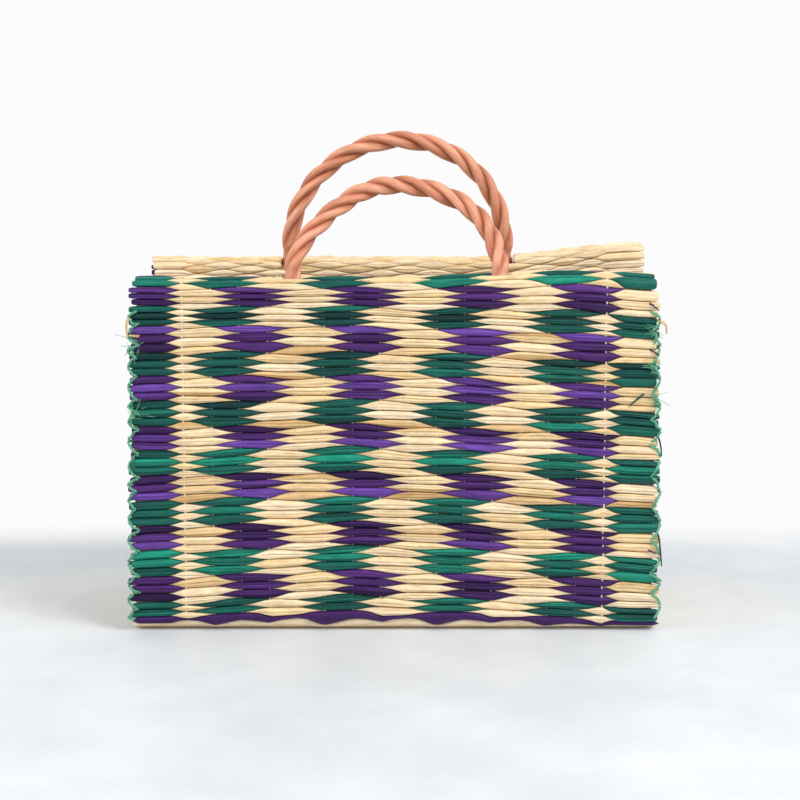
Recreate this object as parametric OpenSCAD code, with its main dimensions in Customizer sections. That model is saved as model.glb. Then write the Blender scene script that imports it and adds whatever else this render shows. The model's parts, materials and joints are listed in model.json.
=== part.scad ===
// Reed box bag: one woven mat folded into front wall, base and back wall, two sewn-in end panels,
// string seams and two twisted willow handles that tilt in the turned-in rim.
// Width runs along X, the front wall faces -Y and the bag stands on Z = 0.

/* [Bag] */
// Width of the folded mat from reed end to reed end
bag_w = 294; // [280:1:320]
// Height of the rim over the table
bag_h = 206; // [180:1:230]
// Depth over the reeds of the front and back walls
bag_d = 120; // [100:1:150]

/* [Mat] */
// Thickness of the woven sheet under the raised reeds
sheet_t = 3.6; // [3:0.1:4.4]
// How far a reed float stands out of the sheet
float_rise = 1.4; // [1:0.1:1.8]
// Spacing of the warp threads that bind the reeds
warp_pitch = 16; // [14:0.25:17]
// Rows of dyed reed in one colour block
block_rows = 3; // [2:1:4]
// Colour blocks on the flat of a wall, from a purple one at the rim to a lower green one at the foot
wall_blocks = 14; // [10:2:16]
// Gap between neighbouring reed floats
reed_gap = 0.1; // [0.06:0.02:0.2]
// Outer radius of the fold between wall and base
base_fold_r = 10; // [8:0.5:14]
// Depth of the turned-in hem below the rim fold
hem_len = 20; // [14:1:26]
// Pitch of the plain natural rows on hem, base and end panels
plain_pitch = 4.6; // [4:0.1:5.2]
// How far a plain row stands out of its sheet
plain_rise = 1.2; // [0.9:0.1:1.5]

/* [Ends] */
// Thickness of an end panel's sheet
end_t = 3; // [2.4:0.1:3.8]
// How far an end panel's rows stay inside the reed ends
end_inset = 0.6; // [0.4:0.1:2]
// Clearance between an end panel and the hem above and the folds below it
end_gap = 0.4; // [0.3:0.1:0.8]

/* [Seams] */
// Diameter of the seam string
string_d = 1.4; // [1:0.1:1.8]
// Spacing of the whip stitches
stitch_pitch = 10.5; // [8:0.5:14]
// Clearance between a stitch and the edge that it wraps
stitch_gap = 0.15; // [0.1:0.05:0.4]

/* [Handles] */
// Radius of one willow turn in a handle
rod_r = 2.6; // [2.2:0.1:2.9]
// Full twists along a handle
handle_twists = 4; // [3:1:5]
// Height of the straight legs over the hinge line
leg_len = 14; // [12:1:18]
// Thickness of a leg where it passes the rim, as a share of the twisted width
leg_flat = 0.34; // [0.28:0.02:0.4]
// Half the distance between the front handle's legs
front_reach = 58; // [50:1:70]
// Height of the front handle over its hinge line
front_rise = 67.5; // [60:0.5:80]
// Half the distance between the back handle's legs
back_reach = 64; // [50:1:70]
// Height of the back handle over its hinge line
back_rise = 78; // [60:0.5:80]
// Inward tilt of the front handle as it rests
front_lean = 34; // [10:1:36]
// Furthest inward tilt of either handle
tilt_in = 34; // [34:1:36]
// Furthest outward tilt of either handle
tilt_out = 6; // [4:1:8]
// Length of the foot that lies in the rim fold under each leg
foot_len = 32; // [26:1:40]
// Clearance round a foot in the rim fold
foot_gap = 0.4; // [0.3:0.05:0.6]
// Clearance between a leg and the edge of its slot
slot_gap = 0.4; // [0.3:0.05:0.8]

/* [Hidden] */
$fn = 48;

straw = "burlywood";
green = "seagreen";
purple = "rebeccapurple";
mint = "mediumaquamarine";
willow = "peru";

// Mat section, measured out from the middle of the bag in Y
wall_out = bag_d / 2 - float_rise;
wall_in = wall_out - sheet_t;
foot_r = rod_r;
fold_in_r = foot_r + foot_gap;
fold_out_r = fold_in_r + sheet_t;
hinge_y = wall_in - fold_in_r;
hinge_z = bag_h - float_rise - fold_out_r;
hem_in = hinge_y - fold_in_r;
hem_face = hem_in - sheet_t;
base_z = plain_rise;
base_top = base_z + sheet_t;
wall_foot_z = base_z + base_fold_r;
fold_floor_y = wall_out - base_fold_r;

// Warps of the check, in whole repeats that leave at least a pitch of bare reed at each end
warp_repeat = 4;
last_warp = warp_repeat * floor((bag_w - 2 * warp_pitch) / (warp_repeat * warp_pitch)) - 1;

// Reed floats on the walls
wall_len = hinge_z - wall_foot_z;
row_pitch = wall_len / (wall_blocks * block_rows - 1);
half_row = row_pitch / 2 - reed_gap / 2;
shoulder = 4 * reed_gap;

// Heights of the colour blocks down a wall, as shares of one another
block_shares = [10.8, 10.8, 15.2, 13.7, 13.7, 14.3, 13.7, 14.3, 14.3, 15.4, 14.3, 14.3, 15.2, 8.2];

// Rows that turn over the two folds, and the room under them that a flat underside needs there
quarter = PI / 2;
rim_rows = floor(quarter * fold_out_r / row_pitch);
fold_lift = fold_out_r - sqrt(pow(fold_out_r, 2) - pow(half_row / 2, 2)) + reed_gap / 2;

// Half round of a plain row, which leaves a narrow groove beside the next one
plain_row_r = 0.46 * plain_pitch;

// Rows of the mat's reverse inside the bag, from under the hem down to the base fold
reverse_top = hinge_z - hem_len;
reverse_rows = floor((reverse_top - wall_foot_z) / plain_pitch);

// End panels
end_out = bag_w / 2 - end_inset;
end_face = end_out - plain_rise;
end_top = hinge_z - hem_len - end_gap;
inside_w = 2 * (end_face - end_t - end_gap);

// Stitches: a half ring round the edge of a wall, and a smaller one at the base
edge_mid = (bag_d / 2 + wall_in) / 2;
edge_half = (bag_d / 2 - wall_in) / 2;
stitch_r = norm([edge_half, end_inset]) + string_d / 2 + stitch_gap;
seam_low = base_top + base_fold_r;
base_stitch_r = sheet_t / 2 + string_d / 2;
base_stitch_z = base_top + string_d / 2;

// Handles: three lobes of one rod wound on itself, each touching the other two
lobe_ring = 2 * rod_r / sqrt(3);
lobe_turns = [-75, -25, 25, 75];
handle_half = lobe_ring + rod_r;
rings_per_twist = 8;
arch_steps = rings_per_twist * handle_twists;
slot_in = max(tilt_in, front_lean);

// Sections of a leg over the hinge line: flat until past the rim, then swelling to the twist
rim_clear = fold_out_r + float_rise + slot_gap;
leg_heights = [0, rim_clear, (rim_clear + leg_len) / 2];
leg_flats = [leg_flat, leg_flat, (leg_flat + 1) / 2];

// Position of warp k along X, counted from the left one
function warp_x(k) = (k - last_warp / 2) * warp_pitch;

// A point of the front wall: x along the mat, s down the flat from the rim fold, h out of the sheet.
// Negative s climbs over the rim fold, and s past the flat runs round the base fold.
function on_wall(x, s, h) =
    s < 0 ? on_fold(x, -s / fold_out_r, h, hinge_y, hinge_z, fold_out_r, 1)
    : s > wall_len ? on_fold(x, (s - wall_len) / base_fold_r, h, fold_floor_y, wall_foot_z, base_fold_r, -1)
    : [x, -(wall_out + h), hinge_z - s];
function on_fold(x, turn, h, centre_y, centre_z, r, way) =
    [x, -centre_y - (r + h) * cos(turn * 180 / PI), centre_z + way * (r + h) * sin(turn * 180 / PI)];

// Height of a float's underside: on the sheet where it is flat, a little over it on a fold
function under(s) = s < 0 || s > wall_len ? fold_lift : 0;

// Height of a float's crest, which stays off the table round the base fold
function crest_rise(s) = s > wall_len ? min(float_rise, plain_rise) : float_rise;

// A float is [left tip, left shoulder, right shoulder, right tip] in warps, its row s, its form and its pitch.
// A whole float is a six-sided spindle with a ridge; an upper one ends at the block's lower edge.
function float_points(f) =
    let (
        x = [for (i = [0:3]) f[0][i] + [reed_gap, reed_gap, -reed_gap, -reed_gap][i]],
        s = f[1],
        half = f[3] / 2 - reed_gap / 2,
        up = s - half,
        low = s + half,
        crest = f[2] ? s : s - f[3] / 4,
        edge = f[2] ? s : s - reed_gap / 2,
        b = under(s),
        rise = crest_rise(s),
        top = [
            on_wall(x[0], edge, b), on_wall(x[1], up, b), on_wall(x[2], up, b), on_wall(x[3], edge, b),
            on_wall(x[1], crest, rise), on_wall(x[2], crest, rise)
        ]
    )
    f[2] ? concat(top, [on_wall(x[2], low, b), on_wall(x[1], low, b)]) : top;

whole_faces = [
    [0, 1, 4], [1, 5, 4], [1, 2, 5], [2, 3, 5], [3, 6, 5], [6, 4, 5], [6, 7, 4], [7, 0, 4],
    [0, 2, 1], [0, 3, 2], [0, 6, 3], [0, 7, 6]
];
upper_faces = [
    [0, 1, 4], [1, 5, 4], [1, 2, 5], [2, 3, 5], [3, 4, 5], [3, 0, 4], [0, 2, 1], [0, 3, 2]
];

// A float over warps a to b reaches one warp further each way; edge floats start at the reed ends
function over(a, b) = [warp_x(a - 1), warp_x(a) - shoulder, warp_x(b) + shoulder, warp_x(b + 1)];
function left_edge() = [-bag_w / 2, -bag_w / 2 + reed_gap, warp_x(-1), warp_x(0)];
function right_edge() = [warp_x(last_warp), warp_x(last_warp + 1), bag_w / 2 - reed_gap, bag_w / 2];

// Spans of the dyed and the natural reed in a green row, and one warp on in a purple row
function pairs(first) = [for (k = [first:warp_repeat:last_warp - 1]) over(k, k + 1)];
green_over = concat([left_edge()], pairs(1), [right_edge()]);
green_under = concat([over(0, 0)], pairs(3), [over(last_warp, last_warp)]);
purple_over = concat([left_edge()], pairs(2));
purple_under = concat(pairs(0), [right_edge()]);

function is_purple(block) = block % 2 == 0;
function shares_above(block) = block == 0 ? 0 : block_shares[(block - 1) % len(block_shares)] + shares_above(block - 1);
function block_top(block) = wall_len * shares_above(block) / shares_above(wall_blocks);
function rows_in(block) = block < wall_blocks - 1 ? block_rows : block_rows - 1;
function block_pitch(block) = (block_top(block + 1) - block_top(block)) / rows_in(block);
function row_s(block, row) = block_top(block) + (row + 0.5) * block_pitch(block);

// Dyed rows of one colour, each with its pitch: their blocks on the flat, then the rows that turn over
// the folds, green at the rim and a purple one under the foot of the wall
function dyed_rows(wants_purple) = concat(
    [for (block = [0:wall_blocks - 1]) if (is_purple(block) == wants_purple)
        for (row = [0:rows_in(block) - 1]) [row_s(block, row), block_pitch(block)]],
    wants_purple ? [[wall_len + row_pitch / 2, row_pitch]]
        : [for (i = [0:rim_rows - 1]) [-(i + 0.5) * row_pitch, row_pitch]]
);
function dyed_floats(wants_purple) =
    [for (r = dyed_rows(wants_purple)) for (x = wants_purple ? purple_over : green_over) [x, r[0], true, r[1]]];

// Natural floats lie half a row below the dyed ones. The last of a block is cut by its lower edge, and
// the lowest block ends at the fold without one.
function natural_floats() =
    [for (block = [0:wall_blocks - 1]) for (row = [0:rows_in(block) - 1])
        if (block < wall_blocks - 1 || row < rows_in(block) - 1)
        for (x = is_purple(block) ? purple_under : green_under)
            let (pitch = block_pitch(block))
            [x, row_s(block, row) + pitch / 2, row < rows_in(block) - 1, pitch]];

// First point number of each float in the joined list
function starts(floats, i = 0, at = 0, found = []) =
    i == len(floats) ? found
    : starts(floats, i + 1, at + (floats[i][2] ? 8 : 6), concat(found, [at]));

module reeds(floats) {
    first = starts(floats);
    polyhedron(
        points = [for (f = floats) each float_points(f)],
        faces = [for (i = [0:len(floats) - 1])
            for (t = floats[i][2] ? whole_faces : upper_faces) [for (p = t) first[i] + p]]
    );
}

module on_back() {
    mirror([0, 1, 0]) children();
}

module on_right() {
    mirror([1, 0, 0]) children();
}

// Half of the mat's section in Y and Z, for the back wall
module half_section() {
    // Wall
    translate([wall_in, wall_foot_z])
        square([sheet_t, wall_len]);
    // Rim fold
    translate([hinge_y, hinge_z]) intersection() {
        difference() {
            circle(fold_out_r);
            circle(fold_in_r);
        }
        translate([-fold_out_r, 0]) square([2 * fold_out_r, fold_out_r]);
    }
    // Turned-in hem
    translate([hem_face, hinge_z - hem_len])
        square([sheet_t, hem_len]);
    hem_rows = floor(hem_len / plain_pitch);
    for (i = [0:hem_rows - 1])
        translate([hem_face, hinge_z - (i + 0.5) * plain_pitch]) plain_row();
    // Base fold
    translate([fold_floor_y, wall_foot_z]) intersection() {
        difference() {
            circle(base_fold_r);
            circle(base_fold_r - sheet_t);
        }
        translate([0, -base_fold_r]) square(base_fold_r);
    }
    // Half of the base
    translate([0, base_z])
        square([fold_floor_y, sheet_t]);
}

// One plain row in section: a low half round standing out of its sheet
module plain_row() {
    intersection() {
        circle(plain_row_r);
        square([2 * plain_rise, 2 * plain_row_r], center = true);
    }
}

module mat_section() {
    half_section();
    mirror([1, 0]) half_section();
    base_rows = floor(2 * fold_floor_y / plain_pitch);
    for (i = [0:base_rows - 1])
        translate([(i - (base_rows - 1) / 2) * plain_pitch, base_z]) rotate(90) plain_row();
}

// The reverse of the mat, seen inside the bag: rows on both walls and on the base
module reverse_section() {
    for (side = [-1, 1]) for (i = [0:reverse_rows - 1])
        translate([side * wall_in, reverse_top - (i + 0.5) * plain_pitch]) plain_row();
    floor_rows = floor(2 * fold_floor_y / plain_pitch) - 1;
    for (i = [0:floor_rows - 1])
        translate([(i - (floor_rows - 1) / 2) * plain_pitch, base_top]) rotate(90) plain_row();
}

// Room for a leg as it tilts, seen along X with the hinge line at the centre
module slot_section() {
    leg_half = handle_half * leg_flat + slot_gap;
    reach = 3 * fold_out_r;
    polygon([
        leg_half * [-cos(slot_in), -sin(slot_in)] + reach * [-sin(slot_in), cos(slot_in)],
        leg_half * [-cos(slot_in), -sin(slot_in)],
        [0, -leg_half / 2],
        leg_half * [cos(tilt_out), -sin(tilt_out)],
        leg_half * [cos(tilt_out), -sin(tilt_out)] + reach * [sin(tilt_out), cos(tilt_out)]
    ]);
}

// The two slots in the back rim, for legs that far from the middle
module slots(leg_x) {
    width = 2 * (handle_half + slot_gap);
    for (side = [-1, 1])
        translate([side * leg_x, hinge_y, hinge_z])
            rotate([90, 0, 90])
                linear_extrude(width, center = true) slot_section();
}

// Folded sheet, with its rows inside the bag between the end panels
module reed_mat() {
    color(straw) {
        difference() {
            rotate([90, 0, 90]) linear_extrude(bag_w, center = true) mat_section();
            slots(back_reach);
            on_back() slots(front_reach);
        }
        rotate([90, 0, 90]) linear_extrude(inside_w, center = true) reverse_section();
    }
}

// Reed floats
module front_green_reeds() {
    color(green) reeds(dyed_floats(false));
}

module front_purple_reeds() {
    color(purple) reeds(dyed_floats(true));
}

module front_natural_reeds() {
    color(straw) reeds(natural_floats());
}

module back_green_reeds() {
    on_back() front_green_reeds();
}

module back_purple_reeds() {
    on_back() front_purple_reeds();
}

module back_natural_reeds() {
    on_back() front_natural_reeds();
}

// End panels, sewn between the walls with their rows running front to back
module end_outline() {
    corner = base_fold_r - sheet_t;
    low = base_top;
    difference() {
        translate([-wall_in, low]) square([2 * wall_in, end_top - low]);
        for (side = [-1, 1])
            translate([side * (wall_in - corner), low + corner]) difference() {
                translate([side > 0 ? 0 : -corner - 1, -corner - 1]) square(corner + 1);
                circle(corner - end_gap);
            }
    }
}

module end_section() {
    translate([end_face - end_t, base_top]) square([end_t, end_top - base_top]);
    rows = floor((end_top - base_top) / plain_pitch);
    for (i = [0:rows - 1])
        translate([end_face, base_top + (i + 0.5) * plain_pitch]) plain_row();
}

module right_end_panel() {
    color(straw) intersection() {
        rotate([90, 0, 0]) linear_extrude(2 * wall_in, center = true) end_section();
        rotate([90, 0, 90]) linear_extrude(bag_w) end_outline();
    }
}

module left_end_panel() {
    on_right() right_end_panel();
}

// String seams: whip stitches round the wall edges, and short ones along the base
module back_right_seam() {
    count = floor((end_top - seam_low) / stitch_pitch);
    color(mint) for (i = [0:count - 1])
        translate([end_out, edge_mid, seam_low + (i + 0.5) * stitch_pitch])
            rotate([0, 0, -90])
                rotate_extrude(angle = 180) translate([stitch_r, 0]) circle(string_d / 2);
}

module back_left_seam() {
    on_right() back_right_seam();
}

module front_right_seam() {
    on_back() back_right_seam();
}

module front_left_seam() {
    on_right() front_right_seam();
}

module right_base_seam() {
    count = floor(2 * fold_floor_y / stitch_pitch);
    color(mint) for (i = [0:count - 1])
        translate([bag_w / 2, (i - (count - 1) / 2) * stitch_pitch, base_stitch_z])
            rotate([90, 0, 0]) rotate([0, 0, -90])
                rotate_extrude(angle = 180) translate([base_stitch_r, 0]) circle(string_d / 2);
}

module left_base_seam() {
    on_right() right_base_seam();
}

// Handle centre line in its own plane: a straight leg, half an ellipse and the other leg.
// Each step holds the place, the outward direction, the twist and the flattening of the section.
function arch_step(i, reach, rise) =
    let (
        a = 180 * i / arch_steps,
        side = [-(rise - leg_len) * cos(a), reach * sin(a)],
        out = side / norm(side)
    )
    [[-reach * cos(a), leg_len + (rise - leg_len) * sin(a)], out, 360 * handle_twists * i / arch_steps, 1];
function leg_step(i, side, reach) = [[side * reach, leg_heights[i]], [side, 0], 0, leg_flats[i]];
function handle_steps(reach, rise) = concat(
    [for (i = [0:len(leg_heights) - 1]) leg_step(i, -1, reach)],
    [for (i = [0:arch_steps]) arch_step(i, reach, rise)],
    [for (i = [len(leg_heights) - 1:-1:0]) leg_step(i, 1, reach)]
);

// Three lobes round the centre line, turned by the twist; the first lobe of a leg faces the front
function lobe_point(lobe, turn, twist) =
    let (at = 120 * lobe + 90 + twist)
    lobe_ring * [cos(at), sin(at)] + rod_r * [cos(at + turn), sin(at + turn)];
function handle_ring(st) =
    [for (lobe = [0:2]) for (turn = lobe_turns)
        let (p = lobe_point(lobe, turn, st[2]))
        [st[0][0] + st[1][0] * p[0], -st[3] * p[1], st[0][1] + st[1][1] * p[0]]];

module twisted_arch(reach, rise) {
    steps = handle_steps(reach, rise);
    n = 3 * len(lobe_turns);
    last = len(steps) - 1;
    ends = len(steps) * n;
    polyhedron(
        points = concat(
            [for (st = steps) each handle_ring(st)],
            [for (st = [steps[0], steps[last]]) [st[0][0], 0, st[0][1]]]
        ),
        faces = [for (i = [0:n - 1]) let (j = (i + 1) % n) each concat(
            [[i, j, ends]],
            [for (k = [0:last - 1])
                each [[k * n + i, (k + 1) * n + i, k * n + j], [k * n + j, (k + 1) * n + i, (k + 1) * n + j]]],
            [[last * n + j, last * n + i, ends + 1]]
        )]
    );
}

// A handle on its hinge line, upright, with the feet that lie in the rim fold
module handle(reach, rise) {
    twisted_arch(reach, rise);
    for (side = [-1, 1])
        translate([side * reach, 0, 0]) rotate([0, 90, 0]) cylinder(r = foot_r, h = foot_len, center = true);
}

module front_handle() {
    color(willow) translate([0, -hinge_y, hinge_z]) rotate([-front_lean, 0, 0])
        handle(front_reach, front_rise);
}

module back_handle() {
    color(willow) translate([0, hinge_y, hinge_z]) handle(back_reach, back_rise);
}

reed_mat();
front_green_reeds();
front_purple_reeds();
front_natural_reeds();
back_green_reeds();
back_purple_reeds();
back_natural_reeds();
left_end_panel();
right_end_panel();
front_left_seam();
front_right_seam();
back_left_seam();
back_right_seam();
left_base_seam();
right_base_seam();
front_handle();
back_handle();
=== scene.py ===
"""Looks of a woven reed box bag: reed floats, warp threads, seam strings and twisted willow handles.

Shapes are worked out in millimetres in the bag's own frame and go into their meshes in metres.
"""
import copy
import json

import bpy
import numpy as np
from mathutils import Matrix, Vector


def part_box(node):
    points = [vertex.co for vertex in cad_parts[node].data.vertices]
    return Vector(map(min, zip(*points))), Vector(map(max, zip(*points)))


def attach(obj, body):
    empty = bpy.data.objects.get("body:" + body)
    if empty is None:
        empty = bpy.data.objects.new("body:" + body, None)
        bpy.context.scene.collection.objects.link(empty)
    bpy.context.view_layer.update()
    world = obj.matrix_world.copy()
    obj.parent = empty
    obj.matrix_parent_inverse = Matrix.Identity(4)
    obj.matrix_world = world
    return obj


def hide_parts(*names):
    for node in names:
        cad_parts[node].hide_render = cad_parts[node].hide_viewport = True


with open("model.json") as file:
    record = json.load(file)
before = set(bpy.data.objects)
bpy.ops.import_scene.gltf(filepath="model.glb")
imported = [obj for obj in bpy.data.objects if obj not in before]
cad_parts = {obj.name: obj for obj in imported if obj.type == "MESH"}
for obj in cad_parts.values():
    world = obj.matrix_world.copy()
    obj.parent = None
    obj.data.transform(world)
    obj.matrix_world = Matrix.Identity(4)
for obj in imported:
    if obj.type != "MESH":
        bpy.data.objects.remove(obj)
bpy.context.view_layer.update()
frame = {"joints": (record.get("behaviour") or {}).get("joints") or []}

MM = 0.001
rng = np.random.default_rng(41)


# Sizes taken from the frame

def node_box(node):
    """Lowest and highest corner of a CAD node, in millimetres."""
    low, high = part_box(node)
    return np.array(low) / MM, np.array(high) / MM


mat_high = node_box("reed_mat")[1]
end_low, end_high = node_box("right_end_panel")
hinges = {joint["name"]: np.array(joint["pos_m"]) / MM for joint in frame["joints"]}
HALF_W = mat_high[0]
WALL_OUT = mat_high[1]
WALL_IN = end_high[1]
SHEET_T = WALL_OUT - WALL_IN
HINGE_Y, HINGE_Z = hinges["back_handle_tilt"][1:]
RIM_R = mat_high[2] - HINGE_Z
BASE_TOP = end_low[2]
BASE_Z = BASE_TOP - SHEET_T
FOOT_R = 10.0
FOOT_Z = BASE_Z + FOOT_R
FLOOR_Y = WALL_OUT - FOOT_R
WALL_LEN = HINGE_Z - FOOT_Z
HEM_LEN = 20.0
RIM_ARC = np.pi * RIM_R
FOOT_ARC = FOOT_R * np.pi / 2
HEM_END = -(RIM_ARC + HEM_LEN)
BASE_MID = WALL_LEN + FOOT_ARC + FLOOR_Y
PLAIN_RISE = 1.2
END_FACE = end_high[0] - PLAIN_RISE
END_T = END_FACE - end_low[0]
END_TOP = end_high[2]

# Rims of the soft sheet: the back one is lifted at its right end, the front one bulges right of its middle
BACK_LIFT = 8.5
BACK_LIFT_X = (45, HALF_W + 6)
BACK_LIFT_S = (-4, 45)
FRONT_LIFT = 3.2
FRONT_LIFT_X = (0, 95)
FRONT_LIFT_FALL = (115, HALF_W)
FRONT_LIFT_S = (-6, 30)

# Sag of the rows to either side of their highest place
SAG_TOP = -18.0
SAG_RIGHT = 5.4
SAG_RIGHT_SPAN = 132.0
SAG_LEFT = 2.2
SAG_LEFT_SPAN = 66.0

# Weave
WARPS = 16
WARP_PITCH = 16.0
EDGE_PITCH = 10.0
CROSS_ZONE = 0.49
CROSS_JITTER = 0.05
PINCH = 0.08
PINCH_X = (HALF_W - 13, HALF_W + 6)
END_EXTRA = 2.6
END_FLARE = 3.2
ROW = 4.7
CHECK_TOP = -2.2
RIM_GREEN = 8.6
BACK_RIM_GREEN = RIM_GREEN - 4
RIM_PURPLE = 3.0
BACK_HEM_EXTRA = 5.0
FOOT_GREEN = 9.4
FOOT_PURPLE = 4.4
FOOT_NATURAL = 7.5
FOOT_DIP = 0.12
BLOCK_H = (10.8, 10.8, 15.2, 13.7, 13.7, 14.3, 13.7, 14.3, 14.3, 15.4, 14.3, 14.3, 15.2)
NATURAL, GREEN, PURPLE = "natural", "green", "purple"
COLOURS = (GREEN, PURPLE, NATURAL)

# Reed floats: heights out of the face they lie on, form, play from float to float, and tones
FLOAT_RISE = 1.5
FLOAT_EDGE = -0.9
FLOAT_DIP = -0.7
FLOAT_UNDER = -1.25
CORE_INSET = 1.1
THREAD_H = -0.85
OUTER_THREAD_H = 0.1
THREAD_R = 0.5
THREAD_RINGS = 80
SLOT_FILL = 0.975
TIP_ROUND = 0.6
TIP_IN = 0.012
TIP_TO_TIP = 0.976
RING_EVEN = 0.66
RING_EASE = 0.34
CREST_BULGE = 0.14
CUT_LIFT = 0.98
DOME_FLAT = 2.4
DOME_ROUND = 0.55
GROOVE_WIDTH = 0.085
GROOVE_CUT = (0.18, 0.42)
GROOVE_SHIFT = 0.3
REED_SHARES = (0.2, 0.45, 0.35)
RISE_PLAY = 0.14
LEAN_PLAY = 0.10
TONE_PLAY = 0.14
REED_TONE = 0.10
# Painted shade: floats are darker along the grooves between their reeds
GROOVE_PAINTED_SHADE = 0.10
DYE_TONES = (0.14, 0.42, 0.62, 0.95)
DYE_SHARES = (0.28, 0.44, 0.18, 0.10)
NATURAL_TONE = (0.74, 0.20)
RIM_GREEN_TONE = 0.6

# Rings along a float, by the place where it lies
WALL_RINGS = 14
PLAIN_RINGS = 9
INSIDE_RINGS = 7
END_RINGS = 8
END_INSIDE_RINGS = 6
LONG_FLOAT = 120.0
LONG_RINGS = 120

# End panels
END_WARPS = 7
END_CLEAR = 0.3
END_CORE_CLEAR = 0.4

# Seam strings, their fibres, and the heights of their frayed places at the front
STITCH = 10.5
WIDE_STITCH = 1.35
STITCH_PLAY = (0.65, 1.4)
STITCH_REACH = (3.4, 6.0)
STITCH_FALL = (0.0, 0.1, 0.22, 0.36, 0.46, 0.48, 0.5, 0.52, 0.54, 0.64, 0.78, 0.9)
SEAM_ABOVE = 9.0
SEAM_FOOT = 3.0
BASE_STITCHES = 9
STRING_R = 0.8
STRING_LAY = 3.2
PLY_OUT = 0.55
PLY_R = 0.62
HAIR_R = 0.15
HAIR_LEN = (0.5, 1.6)
HAIR_DROOP = 0.35
HAIR_RINGS = 5
TUFTS = {"left": (168.0, 127.0), "right": (175.0, 154.0, 136.0)}
TUFT_REACH = 3.5
TUFT_HAIRS = 36
TUFT_R = (0.16, 0.32)
TUFT_LEN = (1.5, 6.5)

# Handles: reach and shift of the legs, then rise, lean and skew of the arch
HANDLE_LEGS = {"front": (59.2, 1.4), "back": (65.6, 1.7)}
HANDLE_ARCH = {"front": (68.3, np.radians(34), (3.4, 0.3)), "back": (78.5, 0.0, (0.5, 1.6))}
HANDLE_RINGS = 190
HANDLE_SIDES = 16
ROD_R = 2.6
LOBE_RING = 2 * ROD_R / np.sqrt(3)
LEG_LEN = 14.0
LEG_FLAT = 0.34
LEG_CLEAR = RIM_R + 1.8
FOOT_LEN = 32.0
TWISTS = 3.5
LEG_TWIST = 0.3
SQUASH = 0.4
LEG_DRAWN = 0.6
SLOT_HALF = LEG_DRAWN * (LOBE_RING - SQUASH) + 1.08 * (ROD_R + SQUASH) + 0.3
LEG_WIDENS = (LEG_CLEAR, LEG_LEN + 5)
ARCH_WIDENS = 12.0
LOBE_TONES = (0.42, 0.54, 0.64)
# Painted shade in the creases between the handle's lobes, and painted light on their outer faces
CREASE_PAINTED_SHADE = 0.62
TIP_TONE = 0.4
FOOT_TONE = 0.45

# Slots for the legs in the rim fold, by the angle round it: reeds pressed aside, cut, and whole again
SLOT_FROM, SLOT_CUT, SLOT_TO = 62.0, 80.0, 165.0
SLOT_BLEND = 7.0
CORE_SLOT_FROM = SLOT_FROM - 12
SHORTEST = 3.0


# Mesh making

def unit(vectors):
    """The vectors, brought to a length of 1."""
    return vectors / (np.linalg.norm(vectors, axis=-1, keepdims=True) + 1e-9)


def placed(name, data):
    """A new object in the scene, from its mesh, lamp or camera."""
    thing = bpy.data.objects.new(name, data)
    bpy.context.scene.collection.objects.link(thing)
    return thing


def outward(points, faces):
    """The faces, turned over where the volume that they enclose comes out negative."""
    corner = points[faces]
    volume = np.einsum("ij,ij->", corner[:, 0], np.cross(corner[:, 1], corner[:, 2]))
    volume += np.einsum("ij,ij->", corner[:, 0], np.cross(corner[:, 2], corner[:, 3]))
    return faces[:, ::-1] if volume < 0 else faces


def new_piece(name, points, faces, material, slot, body="bag", tone=None, grain=None, replaces=()):
    """A piece from points in millimetres and faces of four corners, of which a triangle has two alike."""
    faces = outward(points, faces)
    keep = np.ones(faces.shape, bool)
    keep[:, 1] = faces[:, 0] != faces[:, 1]
    keep[:, 3] = faces[:, 2] != faces[:, 3]
    size = keep.sum(1)
    start = np.concatenate([[0], np.cumsum(size)[:-1]])
    mesh = bpy.data.meshes.new(name)
    mesh.vertices.add(len(points))
    mesh.vertices.foreach_set("co", (points * MM).astype(np.float32).ravel())
    mesh.loops.add(int(size.sum()))
    mesh.loops.foreach_set("vertex_index", faces[keep].astype(np.int32))
    mesh.polygons.add(len(faces))
    mesh.polygons.foreach_set("loop_start", start.astype(np.int32))
    mesh.polygons.foreach_set("use_smooth", np.ones(len(faces), bool))
    mesh.update(calc_edges=True)
    for label, field, values in (("tone", "value", tone), ("grain", "vector", grain)):
        if values is not None:
            attribute = mesh.attributes.new(label, "FLOAT" if field == "value" else "FLOAT_VECTOR", "POINT")
            attribute.data.foreach_set(field, values.astype(np.float32).ravel())
    mesh.validate()
    mesh.materials.append(material)
    piece = placed(name, mesh)
    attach(piece, body)
    if replaces:
        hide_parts(*replaces)


def ring_faces(rings, sides):
    """Faces between rings of sides points each, closed round every ring."""
    i, k = np.meshgrid(np.arange(sides), np.arange(rings - 1) * sides)
    j = (i + 1) % sides
    return np.stack([k + i, k + j, k + sides + j, k + sides + i], -1).reshape(-1, 4)


def tube_faces(count, rings, sides):
    """Faces of count closed tubes: rings of sides points each, then a pole at either end of each tube."""
    i = np.arange(sides)
    j = (i + 1) % sides
    end = (rings - 1) * sides
    pole = np.full(sides, rings * sides)
    low = np.stack([j, i, pole, pole], -1)
    high = np.stack([end + i, end + j, pole + 1, pole + 1], -1)
    one = np.concatenate([ring_faces(rings, sides), low, high])
    return (one[None] + (np.arange(count) * (rings * sides + 2))[:, None, None]).reshape(-1, 4)


def closed_tubes(rings, poles):
    """Points in the order of tube_faces, from rings (tube, ring, side, 3) and poles (tube, 2, 3)."""
    return np.concatenate([rings.reshape(len(rings), -1, 3), poles], 1).reshape(-1, 3)


def joined(parts):
    """One point list and one face list from several."""
    start = np.cumsum([0] + [len(points) for points, _ in parts[:-1]])
    return (np.concatenate([points for points, _ in parts]),
            np.concatenate([faces + n for (_, faces), n in zip(parts, start)]))


# The folded mat

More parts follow.
